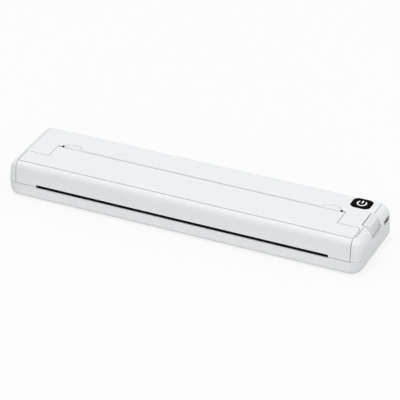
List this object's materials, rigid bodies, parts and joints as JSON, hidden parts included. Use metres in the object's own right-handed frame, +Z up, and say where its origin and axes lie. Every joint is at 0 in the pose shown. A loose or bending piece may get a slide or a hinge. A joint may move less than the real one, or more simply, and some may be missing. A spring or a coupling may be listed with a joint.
{
  "type": "portable thermal printer",
  "caption": "Slim white document printer that stands free: hinged cover over the platen roller, paper slots on top and in front, push latch, power button and charging port.",
  "frame": {"origin": "On the table, under the middle of the printer's outline.", "axes": "X along the printer, +X at the end with the power button and charging port; -Y is the front, where the paper comes out; +Z up."},
  "size_m": [0.264, 0.061, 0.027],
  "materials": {
    "white_abs": "satin moulded ABS",
    "black_abs": "satin black ABS",
    "white_mark": "white inlay",
    "frame_abs": "dark grey moulded ABS",
    "black_rubber": "matt rubber",
    "platen_rubber": "ground silicone rubber",
    "steel": "zinc plated or bright steel",
    "aluminium": "plain extruded aluminium",
    "alumina": "glazed white ceramic",
    "heater_glaze": "dark glass glaze",
    "pcb_green": "solder-masked fibreglass board",
    "chip_black": "moulded epoxy",
    "polyimide": "polyimide film",
    "acetal": "natural acetal",
    "bronze": "sintered bronze",
    "nickel": "nickel plate",
    "cell_wrap": "blue shrink wrap",
    "lead_red": "insulated wire"
  },
  "bodies": {
    "base": {"lower_shell": "white_abs", "rear_housing": "white_abs", "left_end_cap": "white_abs", "right_end_cap": "white_abs", "rubber_feet": "black_rubber", "case_screws": "steel", "idler_pin": "steel", "stepper_motor": "steel", "motor_screws": "steel", "gear_plate": "steel", "head_springs": "steel", "head_flex_cable": "polyimide", "paper_guide": "frame_abs", "paper_sensor": "chip_black", "cover_switch": "chip_black", "battery_cells": "cell_wrap", "battery_contacts": "nickel", "battery_holder": "frame_abs", "battery_leads": "lead_red", "main_board": "pcb_green", "board_chips": "chip_black", "usb_c_receptacle": "nickel", "usb_c_tongue": "chip_black", "tact_switch": "chip_black", "latch_spring": "steel", "exit_guide": "black_abs", "edge_marks": "black_abs"},
    "cover": {"front_fascia": "white_abs", "top_panel": "white_abs", "cover_frame": "frame_abs", "cover_screws": "steel", "hinge_pins": "steel", "platen_bushes": "bronze"},
    "platen": {"platen_shaft": "steel", "platen_rubber": "platen_rubber", "platen_gear": "acetal"},
    "idler": {"idler_gear": "acetal"},
    "pinion": {"motor_pinion": "acetal"},
    "print_head": {"head_bracket": "steel", "head_heat_sink": "aluminium", "head_ceramic": "alumina", "heater_line": "heater_glaze", "head_circuit": "pcb_green"},
    "power_key": {"power_button": "black_abs", "power_symbol": "white_mark"},
    "latch_key": {"latch_button": "white_abs"},
    "hook": {"latch_hook": "acetal"}
  },
  "joints": [
    {"name": "cover_hinge", "type": "hinge", "parent": "base", "child": "cover", "pos_m": [0, 0.00135, 0.0252], "axis": [-1, 0, 0], "range_deg": [0, 95]},
    {"name": "platen_spin", "type": "hinge", "parent": "cover", "child": "platen", "pos_m": [0, -0.017, 0.01625], "axis": [1, 0, 0], "continuous": true},
    {"name": "idler_spin", "type": "hinge", "parent": "base", "child": "idler", "pos_m": [-0.1217, -0.01021, 0.01027], "axis": [1, 0, 0], "continuous": true},
    {"name": "pinion_spin", "type": "hinge", "parent": "base", "child": "pinion", "pos_m": [-0.1217, -0.0033, 0.01167], "axis": [1, 0, 0], "continuous": true},
    {"name": "head_float", "type": "slide", "parent": "base", "child": "print_head", "axis": [0, 0, -1], "range_m": [0, 0.0006], "stiffness_N_per_m": 2000, "springref_m": -0.001, "deforming": ["head_springs"]},
    {"name": "power_press", "type": "slide", "parent": "base", "child": "power_key", "axis": [0, 0, -1], "range_m": [0, 0.0006], "stiffness_N_per_m": 300, "springref_m": -0.001},
    {"name": "latch_press", "type": "slide", "parent": "base", "child": "latch_key", "axis": [0, 0, -1], "range_m": [0, 0.001], "stiffness_N_per_m": 250, "springref_m": -0.002, "deforming": ["latch_spring"]},
    {"name": "hook_slide", "type": "slide", "parent": "base", "child": "hook", "axis": [1, 0, 0], "range_m": [0, 0.001]}
  ],
  "couplings": [
    {"joint": "idler_spin", "follows": "platen_spin", "ratio": -1.25},
    {"joint": "pinion_spin", "follows": "platen_spin", "ratio": 1.6667},
    {"joint": "hook_slide", "follows": "latch_press", "ratio": 1}
  ]
}
